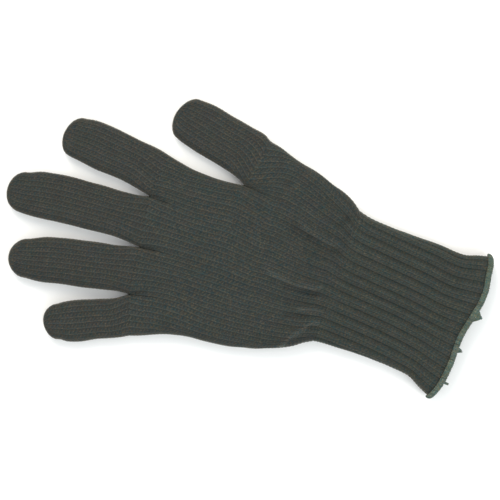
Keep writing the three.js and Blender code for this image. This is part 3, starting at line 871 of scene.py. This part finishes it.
def digit_ring(spec, left, right, distance, width, shift, loft, inset, gusset):
    across = right - left
    base_turn = math.degrees(math.atan2(-across[1], across[0]))
    length = spec["length"]
    lean = mix(base_turn, spec["turn"], float(smoothstep(distance / length, 0.0, 0.15)))
    middle = (left + right) / 2 + turned_up(spec["turn"]) * distance + turned_across(spec["turn"]) * shift
    course = np.array([middle + turned_across(lean) * side * width for side in (-0.5, 0.5)])
    radius = loft / 2
    own = max(radius - inset, 0.02)
    x, z, arc = whole_outline(*half_outline(width, radius, own))
    main = spec["wales"]
    left_extra, right_extra = spec["gussets"]
    widths = np.concatenate([
        np.full(left_extra // 2, gusset), np.ones(main), np.full(right_extra, gusset), np.ones(main),
        np.full(left_extra - left_extra // 2, gusset)])
    bounds = np.concatenate([[0.0], np.cumsum(widths)]) / widths.sum() * arc[-1]
    wale = (np.arange(len(widths))[:, None] + WALE_STATIONS[None, :]).ravel()
    place = np.interp(wale, np.arange(len(bounds)), bounds)
    x, z = np.interp(place, arc, x), np.interp(place, arc, z)
    lift = 0.0 if distance < 0.8 * length else (FINGER_LOFT - loft) / 2
    return ring_points(course, x, z, radius, lift, False)


def digit_knit(node, spec):
    rows, places, left, right = digit_path(spec)
    courses = round(places[-1] / COURSE)
    numbers = rows_of(courses)[:-2]

    def rings(steps, inset):
        made = []
        for step in steps:
            values = [float(curve_through(places, rows[:, k], step)) for k in range(4)]
            values[1] = max(values[1], TIP_WIDTH)
            values[3] = min(values[3], values[1])
            gusset = mix(GUSSET_LEFT, 1.0, float(smoothstep(step / places[-1], 0.0, 0.25)))
            if step > places[-4] and inset:
                values[3] = max(values[3], 2 * inset + TIP_HOLLOW)
            made.append(digit_ring(spec, left, right, *values, inset, gusset))
        return np.array(made)

    fabric = Fabric()
    outer = rings(numbers / courses * places[-1], 0.0)
    strength = smoothstep(numbers[-1] - numbers, 0.0, 1.5)
    if node == "thumb":
        strength *= smoothstep(numbers, 0.0, 1.0)
    knit, yarn, tone = knit_rows(outer, -numbers, strength[:, None])
    # Painted sheen: the last tenth of each digit is made up to a fifth paler towards its tip.
    painted_tip_sheen = smoothstep(numbers / courses, 0.9, 1.0)[:, None]
    ids = fabric.add(knit, yarn, tone * (1.0 + 0.2 * painted_tip_sheen))
    inner = rings(np.linspace(0.0, places[-4], INNER_ROWS), FABRIC)
    inner_ids = fabric.add(inner, INSIDE_LIGHT)
    fabric.grid(ids)
    fabric.grid(inner_ids[::-1])
    fabric.rim(inner_ids[0], ids[0])
    tip = fabric.add(knit[-1].mean(axis=0)[None, :] + np.append(turned_up(spec["turn"]) * 0.15, 0.0), 0.7)
    inner_tip = fabric.add(inner[-1].mean(axis=0)[None, :], INSIDE_LIGHT)
    fabric.fan(ids[-1], tip[0])
    fabric.fan(inner_ids[-1][::-1], inner_tip[0])
    fabric.build(node + "_knit", finger_wool, node)


# The cuff.

# Painted shade inside the cuff.
CUFF_INSIDE_LIGHT = 0.35
CUFF_INNER_ROWS = 12
CUFF_AXIS = -turned_up(CUFF_LEAN)
EDGE_RISE = JOIN_GAP + EDGE_THREAD
WRAPPED_FROM = 1 - (EDGE_REACH + JOIN_GAP) / CUFF_LENGTH


def hem_share(along):
    return float(smoothstep(along, HEM_FROM, WRAPPED_FROM))


def cuff_course(along, distance, slack):
    little, thumb, lean = (float(curve_through(CUFF[:, 0], CUFF[:, k], along)) for k in (1, 2, 3))
    middle = WRIST_CENTRE + CUFF_AXIS * distance
    across = turned_across(mix(WRIST_TILT, CUFF_LEAN, lean))
    start, end = middle - across * little * WRIST_WIDTH, middle + across * thumb * WRIST_WIDTH
    shares = np.linspace(0.0, 1.0, 41)
    reach = curve_through(HEM_WAVE[:, 0], HEM_WAVE[:, 1], shares) * CUFF_LENGTH * slack
    return start + shares[:, None] * (end - start) + reach[:, None] * CUFF_AXIS


# The ribs run straight while the cuff's little side comes in and goes out, so they roll over it: how
# far, from the wrist to the hem.
CUFF_TWIST = np.array([(0.0, 0.0), (0.2, -0.9), (0.6, -3.6), (0.8, -4.6), (1.0, -5.4)])


def cuff_ring(along, distance, inset=0.0):
    share = hem_share(along)
    twist = HAND_TWIST + float(curve_through(CUFF_TWIST[:, 0], CUFF_TWIST[:, 1], along))
    loft = mix(CUFF_LOFT, HEM_LOFT - 2 * EDGE_RISE, share)
    return wale_ring(cuff_course(along, distance, share), loft, RIB_WIDTHS, twist=twist, inset=inset,
                     lift=EDGE_RISE * share, folded=True)


def cuff_knit():
    courses = 38
    end = CUFF_LENGTH - EDGE_RISE
    numbers = rows_of(courses)
    alongs = numbers / courses
    outer = np.array([cuff_ring(a, a * end) for a in alongs])
    ribs = curve_through(CUFF[:, 0], CUFF[:, 4], alongs)[:, None] * RIB_VALLEY[None, :]
    knit, yarn, tone = knit_rows(outer, numbers, relief=ribs)
    inner = np.array([cuff_ring(a, a * end, FABRIC) for a in np.linspace(0.0, 1.0, CUFF_INNER_ROWS)])
    fabric = Fabric()
    ids = fabric.add(knit, yarn, crease_painted_light(tone, outer))
    inner_ids = fabric.add(inner, CUFF_INSIDE_LIGHT)
    fabric.grid(ids)
    fabric.grid(inner_ids[::-1])
    fabric.rim(inner_ids[0], ids[0])
    fabric.rim(ids[-1], inner_ids[-1])
    fabric.build("rib_cuff_knit", rib_wool, "rib_cuff")


# The overcast edge.

def edge_loop(count, back, offset):
    """Points round the cuff's end: so far back from it, and so far out from the cuff's face."""
    course = cuff_course(1.0, CUFF_LENGTH, 1.0)
    loft = HEM_LOFT - 2 * EDGE_RISE
    radius = loft / 2
    total = marks_of(course)[-1]
    x, z, arc = whole_outline(*half_outline(total, radius, radius))
    place = np.arange(count) / count * arc[-1]
    x, z = np.interp(place, arc, x), np.interp(place, arc, z)
    near_left, near_right = np.clip(radius - x, 0, None), np.clip(x - total + radius, 0, None)
    out = (near_right - near_left) / radius
    up = z / radius
    plan = along_course(course, x + out * offset)
    points = np.column_stack([plan, EDGE_RISE + radius + z + up * offset])
    points[:, :2] -= CUFF_AXIS * np.reshape(back, (-1, 1))
    return points


THREAD_SIDES = 6
THREAD_RADIUS = 0.3
THREAD_LIGHT = 0.8


def thread(fabric, path, radius, tone=0.5):
    """A round thread along a path, closed at both ends."""
    path = np.asarray(path, float)
    step = np.gradient(path, axis=0)
    step /= np.maximum(np.linalg.norm(step, axis=1, keepdims=True), 1e-9)
    aside = np.cross(step, [0.13, 0.21, 0.97])
    aside /= np.maximum(np.linalg.norm(aside, axis=1, keepdims=True), 1e-9)
    other = np.cross(step, aside)
    turn = np.arange(THREAD_SIDES) / THREAD_SIDES * 2 * math.pi
    points = path[:, None, :] + radius * (
        aside[:, None, :] * np.cos(turn)[None, :, None] + other[:, None, :] * np.sin(turn)[None, :, None])
    ids = fabric.add(points, THREAD_LIGHT, tone)
    fabric.grid(ids)
    for ring, centre in ((ids[0][::-1], path[0]), (ids[-1], path[-1])):
        fabric.fan(ring, fabric.add(centre[None, :], THREAD_LIGHT, tone)[0])


# Tags of the overcast thread that have come loose: the plan point of the tip, how far the tag goes
# back from it and to each side, and how many strands it has. They start under the hem's top and hang.
TAG_FOOT = HEM_LOFT - 2.4
TAG_TIP = HEM_LOFT - 4.4
LOOSE_ENDS = ((4.8, -140.8, 4.4, 5.4, 36), (-16.6, -134.5, 2.6, 2.4, 12), (-36.6, -132.4, 3.0, 1.2, 8))


def cuff_edge_knit():
    """A flat core round the hem, the slanted threads over it, and the loose tags."""
    fabric = Fabric()
    inside = -FABRIC - THREAD_RADIUS - JOIN_GAP
    profile = (
        # back, offset from the cuff's face
        (EDGE_REACH - 0.4, 0.05), (EDGE_REACH - 0.7, JOIN_GAP + 0.25), (0.7, JOIN_GAP + 0.25),
        (0.2, -0.4), (0.15, inside + 0.8), (0.7, inside - 0.25), (EDGE_REACH - 0.7, inside - 0.25),
        (EDGE_REACH - 0.4, inside + 0.1), (0.9, inside + 0.5), (0.9, -0.3),
    )
    loops = np.array([edge_loop(320, back, offset) for back, offset in profile])
    # The flat core under the threads takes the tubes' inside painted shade.
    ids = fabric.add(loops, INSIDE_LIGHT)
    fabric.grid(np.vstack([ids, ids[:1]]))
    threads = 250
    bends = 12
    turns = np.linspace(0.0, 1.0, bends)
    backs = np.interp(turns, [0, 0.3, 0.45, 0.55, 0.7, 1], [EDGE_REACH, 1.2, 0.1, 0.1, 1.2, EDGE_REACH])
    offsets = np.interp(turns, [0, 0.12, 0.34, 0.66, 0.88, 1],
                        [0.1, 0.62, 0.55, inside - 0.45, inside - 0.55, inside])
    fine = 4000
    over = np.array([edge_loop(fine, b, o) for b, o in zip(backs, offsets)])
    for k in range(threads):
        start = k / threads * fine
        slant = fine / threads * (0.35 + 0.25 * random_draws.random())
        wander = random_draws.normal(0.0, 0.12, bends)
        at = (start + slant * turns * 2 + wander * fine / threads * 0.5).astype(int) % fine
        path = over[np.arange(bends), at] + random_draws.normal(0.0, 0.04, (bends, 3))
        radius = THREAD_RADIUS + 0.05 * random_draws.random()
        thread(fabric, path, radius, 0.5 + random_draws.normal(0, 0.08))
    across = turned_across(CUFF_LEAN)
    for x, y, back, aside, strands in LOOSE_ENDS:
        for _ in range(strands):
            foot = np.array([x, y]) - CUFF_AXIS * back + across * aside * random_draws.uniform(-1.0, 1.0)
            tip = np.array([x, y]) + random_draws.normal(0.0, 0.35, 2)
            steps = np.linspace(0.0, 1.0, 7)[:, None]
            path = mix(np.append(foot, TAG_FOOT), np.append(tip, TAG_TIP), steps)
            path[:, :2] += np.sin(steps * math.pi) * random_draws.normal(0.0, 0.2, 2)
            thread(fabric, path, THREAD_RADIUS)
    fabric.build("cuff_edge_knit", edge_wool, "cuff_edge")


hand_knit()
for node, spec in DIGITS.items():
    digit_knit(node, spec)
cuff_knit()
cuff_edge_knit()


# Floor, light and camera.

def white_paper():
    """Uncoated white paper: matt, so it takes no reflection of the glove."""
    material, tree = new_material("white paper")
    shader = add_node(tree, "ShaderNodeBsdfPrincipled", _Roughness=0.9)
    shader.inputs["Base Color"].default_value = linear(0xF4F4F4)
    add_node(tree, "ShaderNodeOutputMaterial", {"Surface": shader.outputs["BSDF"]})
    return material


# The floor lies a little under the glove, whose lowest stitches pass the solid by 0.1 mm.
bpy.ops.mesh.primitive_plane_add(size=6.0, location=(0, 0, -0.4 * MM))
floor = bpy.context.object
floor.name = "floor"
floor.data.materials.append(white_paper())

# The photograph looks straight down, with the glove's fingers to the left.
PHOTO_TURN = math.radians(15.0)
PHOTO_CENTRE = Vector((8.1, -3.7, 0.0)) * MM
right = Vector((math.sin(PHOTO_TURN), -math.cos(PHOTO_TURN), 0.0))
up = Vector((math.cos(PHOTO_TURN), math.sin(PHOTO_TURN), 0.0))
towards = Vector((0.0, 0.0, 1.0))


def aimed(position):
    """The matrix of a lamp or camera that stands at a place and looks at the glove."""
    back = (position - PHOTO_CENTRE).normalized()
    side = up.cross(back).normalized()
    top = back.cross(side)
    matrix = Matrix((side, top, back)).transposed().to_4x4()
    matrix.translation = position
    return matrix


def soft_light(name, position, size, watts, colour):
    lamp = bpy.data.lights.new(name, "AREA")
    lamp.shape = "DISK"
    lamp.size = size
    lamp.energy = watts
    lamp.color = colour
    holder = bpy.data.objects.new(name, lamp)
    holder.matrix_world = aimed(PHOTO_CENTRE + position)
    bpy.context.scene.collection.objects.link(holder)


soft_light("key light", up * 0.95 - right * 0.35 + towards * 0.8, 0.9, 13.0, (1.0, 0.93, 0.82))
soft_light("fill light", right * 0.8 - up * 0.9 + towards * 0.8, 1.2, 11.0, (0.95, 1.0, 1.0))
world = bpy.data.worlds.new("pale room")
bpy.context.scene.world = world
world.use_nodes = True
world.node_tree.nodes["Background"].inputs["Color"].default_value = (0.98, 1.0, 1.0, 1.0)
world.node_tree.nodes["Background"].inputs["Strength"].default_value = 1.0

CAMERA_HEIGHT = 1.8
FIELD = 0.285
MID_HEIGHT = 0.009
camera = bpy.data.objects.new("camera", bpy.data.cameras.new("camera"))
camera.data.sensor_width = 36.0
camera.data.lens = camera.data.sensor_width * (CAMERA_HEIGHT - MID_HEIGHT) / FIELD
camera.data.clip_start = 0.05
camera.data.clip_end = 20.0
camera.matrix_world = aimed(PHOTO_CENTRE + towards * CAMERA_HEIGHT)
bpy.context.scene.collection.objects.link(camera)
bpy.context.scene.camera = camera

# The photograph is printed on pure white, so light is shown as it falls, with no film curve.
bpy.context.scene.view_settings.view_transform = "Standard"
